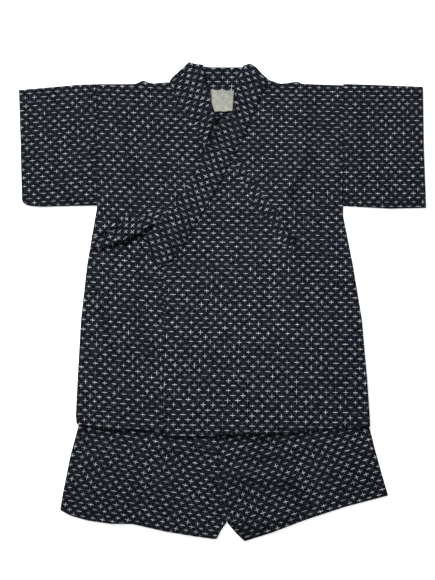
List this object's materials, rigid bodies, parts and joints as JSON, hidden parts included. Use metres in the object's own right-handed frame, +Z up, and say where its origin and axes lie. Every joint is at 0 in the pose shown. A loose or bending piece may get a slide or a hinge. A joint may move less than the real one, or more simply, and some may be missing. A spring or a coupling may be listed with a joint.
{
  "type": "jinbei set",
  "caption": "Short-sleeved wrap jacket with a crossover collar band and side tie, laid flat over matching wide short trousers.",
  "frame": {"origin": "on the surface the set lies on, under the middle of its outline", "axes": "+X towards the wearer's left sleeve, +Y towards the neck, +Z up from the surface"},
  "size_m": [0.6044, 0.7114, 0.01],
  "materials": {
    "kasuri_cotton": "matt dark navy plain-weave cotton with small staggered off-white crosses",
    "woven_label": "bare cream woven label"
  },
  "bodies": {
    "root": {"shorts_back_right": "kasuri_cotton", "shorts_back_left": "kasuri_cotton", "shorts_front_right": "kasuri_cotton", "shorts_front_left": "kasuri_cotton", "shorts_waistband": "kasuri_cotton", "jacket_back": "kasuri_cotton", "jacket_front_right": "kasuri_cotton", "jacket_front_left": "kasuri_cotton", "sleeve_right": "kasuri_cotton", "sleeve_left": "kasuri_cotton", "collar_back": "kasuri_cotton", "collar_right": "kasuri_cotton", "collar_left": "kasuri_cotton", "tie_front": "kasuri_cotton", "tie_side": "kasuri_cotton", "tie_knot": "kasuri_cotton", "label": "woven_label"}
  },
  "joints": []
}
